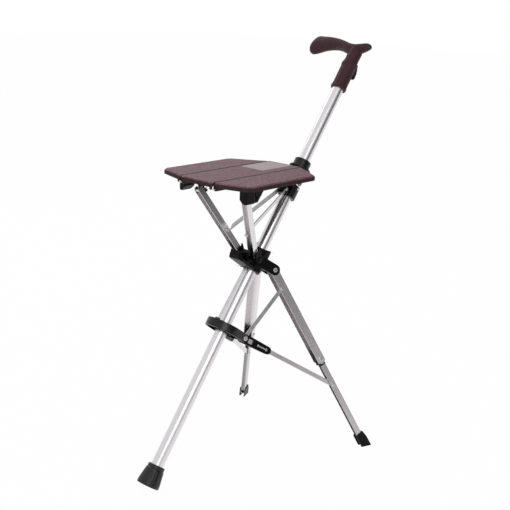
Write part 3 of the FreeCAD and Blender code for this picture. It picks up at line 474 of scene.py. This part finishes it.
def shells(mesh):
    # a node's closed shells, found by joining the corners that share a place
    leaders = {}

    def leader(key):
        while leaders[key] != key:
            key = leaders[key]
        return key

    steps = rims["cornersPerMetre"]
    keys = [tuple(round(part * steps) for part in vertex.co) for vertex in mesh.vertices]
    for key in keys:
        leaders[key] = key
    for polygon in mesh.polygons:
        first = leader(keys[polygon.vertices[0]])
        for index in polygon.vertices[1:]:
            leaders[leader(keys[index])] = first
    parts = {}
    for key, vertex in zip(keys, mesh.vertices):
        parts.setdefault(leader(key), []).append(vertex.co.copy())
    return parts.values()


def middleOf(corners):
    return sum(corners, Vector()) / len(corners)


def headEnds(corners):
    # the centre, direction and radius of the cap at each end of a rivet, found from its long axis
    middle = middleOf(corners)
    far = max(corners, key=lambda corner: (corner - middle).length)
    other = max(corners, key=lambda corner: (corner - far).length)
    axis = (far - other).normalized()
    for settling in range(rims["settlings"]):
        heights = [corner.dot(axis) for corner in corners]
        caps = [[corner for corner, height in zip(corners, heights) if abs(height - end) < rims["capDepth"]]
                for end in (max(heights), min(heights))]
        axis = (middleOf(caps[0]) - middleOf(caps[1])).normalized()
    found = []
    for way, cap in zip((1, -1), caps):
        centre = middleOf(cap)
        found.append((centre, axis * way, max((corner - centre).length for corner in cap)))
    return found


def rolledRims(tree, body, rivets):
    ends = [end for corners in shells(nodes[rivets].data) for end in headEnds(corners)]
    seed = bpy.data.meshes.new("rim places")
    seed.from_pydata([centre - facing * rims["sunk"] for centre, facing, radius in ends], [], [])
    facings = seed.attributes.new("facing", "FLOAT_VECTOR", "POINT")
    facings.data.foreach_set("vector", [part for centre, facing, radius in ends for part in facing])
    radii = seed.attributes.new("rimRadius", "FLOAT", "POINT")
    radii.data.foreach_set("value", [radius * rims["reach"] for centre, facing, radius in ends])
    holder = bpy.data.objects.new("rim places", seed)
    bpy.context.scene.collection.objects.link(holder)
    grown = holder.modifiers.new("rolled rims", "NODES")
    grown.node_group = tree
    inputs = {item.name: item.identifier for item in tree.interface.items_tree if item.in_out == "INPUT"}
    grown[inputs["Thickness"]] = rims["thickness"]
    grown[inputs["Material"]] = rivetSteel
    view = bpy.context.evaluated_depsgraph_get()
    mesh = bpy.data.meshes.new_from_object(holder.evaluated_get(view))
    mesh.name = body + " rivet rims"
    bpy.data.objects.remove(holder)
    for polygon in mesh.polygons:
        polygon.use_smooth = True
    piece = bpy.data.objects.new(body + "_rivet_rims", mesh)
    bpy.context.scene.collection.objects.link(piece)
    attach(piece, body)
    print(piece.name, len(ends), "rims,", len(mesh.polygons), "faces")


rimMaker = rimTree()
for body, rivets in rims["rivets"].items():
    rolledRims(rimMaker, body, rivets)
print("rivets dimpled")


# stage: pale floor, soft light, and the camera at the photograph's place
stage = {
    "floorHalf": 12.0,
    "floorColour": rgb(0.9, 0.9, 0.9),
    "floorRough": 0.9,
    "floorGlow": 0.97,  # how much of white the camera and the glossy rays see on the floor
    "white": rgb(1, 1, 1),
    "aim": (0, 0, 0.4),
    "key": {"at": (-1.6, -1.9, 1.9), "size": (1.4, 1.4), "power": 14},
    "rim": {"at": (0.6, 1.9, 1.8), "size": (1.6, 1.0), "power": 6},
    "roomColour": rgb(0.99, 0.98, 1.0),
    "room": 0.88,
    "darkSide": (0.80, -0.60, -0.04),  # towards the darker side of the room
    "darkSideRoom": 0.16,
    "darkSideFrom": 0.30,
    "darkSideFull": 0.72,
}


def paleFloor():
    half = stage["floorHalf"]
    mesh = bpy.data.meshes.new("floor")
    corners = [(-half, -half, 0), (half, -half, 0), (half, half, 0), (-half, half, 0)]
    mesh.from_pydata(corners, [], [(0, 1, 2, 3)])
    floor = bpy.data.objects.new("floor", mesh)
    bpy.context.scene.collection.objects.link(floor)
    look = Recipe("pale floor")
    look.set(Base_Color=stage["floorColour"], Roughness=stage["floorRough"])
    path = addNode(look.tree, "ShaderNodeLightPath", {}, {})
    seen, mirrored = [Wire(look, path.outputs[name]) for name in ("Is Camera Ray", "Is Glossy Ray")]
    white = seen.maths("MAXIMUM", mirrored) * stage["floorGlow"]
    glow = look.node("ShaderNodeEmission", {}, {"Color": stage["white"], "Strength": 1.0})
    matt = Wire(look, look.shader.outputs[0])
    mixed = look.node("ShaderNodeMixShader", {}, {0: white, 1: matt, 2: glow})
    look.tree.links.new(mixed.socket, look.tree.nodes["Material Output"].inputs["Surface"])
    mesh.materials.append(look.material)


def softbox(name):
    box = stage[name]
    light = bpy.data.lights.new(name, "AREA")
    light.shape = "RECTANGLE"
    light.size, light.size_y = box["size"]
    light.energy = box["power"]
    lamp = bpy.data.objects.new(name, light)
    lamp.location = box["at"]
    lamp.rotation_euler = (Vector(stage["aim"]) - Vector(box["at"])).to_track_quat("-Z", "Y").to_euler()
    bpy.context.scene.collection.objects.link(lamp)


def whiteWorld():
    world = bpy.data.worlds.new("studio")
    world.use_nodes = True
    bpy.context.scene.world = world
    tree = world.node_tree
    # one side of the room is darker, which puts the grey band along the tube
    where = addNode(tree, "ShaderNodeTexCoord", {}, {})
    towards = addNode(tree, "ShaderNodeVectorMath", {"operation": "DOT_PRODUCT"},
                      {0: where.outputs["Generated"], 1: Vector(stage["darkSide"]).normalized()})
    level = addNode(tree, "ShaderNodeMapRange", {"interpolation_type": "SMOOTHSTEP"},
                    {"Value": towards.outputs["Value"],
                     "From Min": stage["darkSideFrom"], "From Max": stage["darkSideFull"],
                     "To Min": stage["room"], "To Max": stage["darkSideRoom"]})
    room = tree.nodes["Background"]
    room.inputs["Color"].default_value = stage["roomColour"]
    tree.links.new(level.outputs["Result"], room.inputs["Strength"])
    white = addNode(tree, "ShaderNodeBackground", {}, {"Color": stage["white"], "Strength": 1.0})
    path = addNode(tree, "ShaderNodeLightPath", {}, {})
    mixed = addNode(tree, "ShaderNodeMixShader", {},
                    {0: path.outputs["Is Camera Ray"], 1: room.outputs[0], 2: white.outputs[0]})
    tree.links.new(mixed.outputs[0], tree.nodes["World Output"].inputs["Surface"])


# fitted to the photograph: degrees, metres and pixels
camera = {
    "azimuth": -48.41,
    "elevation": 16.01,
    "roll": 2.24,
    "aim": (-0.268047, 0.0, 0.400),
    "distance": 1.510,
    "right": 0.172,
    "up": 0.027,
    "focalPixels": 933.0,
    "imagePixels": 510.0,
    "sensor": 36.0,
    "clip": (0.01, 50),
}


def photoCamera():
    turn, lift, roll = [math.radians(camera[name]) for name in ("azimuth", "elevation", "roll")]
    back = Vector((math.sin(turn) * math.cos(lift), -math.cos(turn) * math.cos(lift), math.sin(lift)))
    level = Vector((0, 0, 1)).cross(back).normalized()
    high = back.cross(level)
    right = level * math.cos(roll) + high * math.sin(roll)
    up = high * math.cos(roll) - level * math.sin(roll)
    place = Vector(camera["aim"]) + back * camera["distance"] + right * camera["right"] + up * camera["up"]
    lens = bpy.data.cameras.new("photo camera")
    lens.sensor_width = camera["sensor"]
    lens.lens = camera["focalPixels"] / camera["imagePixels"] * camera["sensor"]
    lens.clip_start, lens.clip_end = camera["clip"]
    eye = bpy.data.objects.new("photo camera", lens)
    eye.matrix_world = Matrix.Translation(place) @ Matrix((right, up, back)).transposed().to_4x4()
    bpy.context.scene.collection.objects.link(eye)
    bpy.context.scene.camera = eye


paleFloor()
softbox("key")
softbox("rim")
whiteWorld()
photoCamera()
bpy.context.scene.view_settings.view_transform = "Standard"
print("stage set")
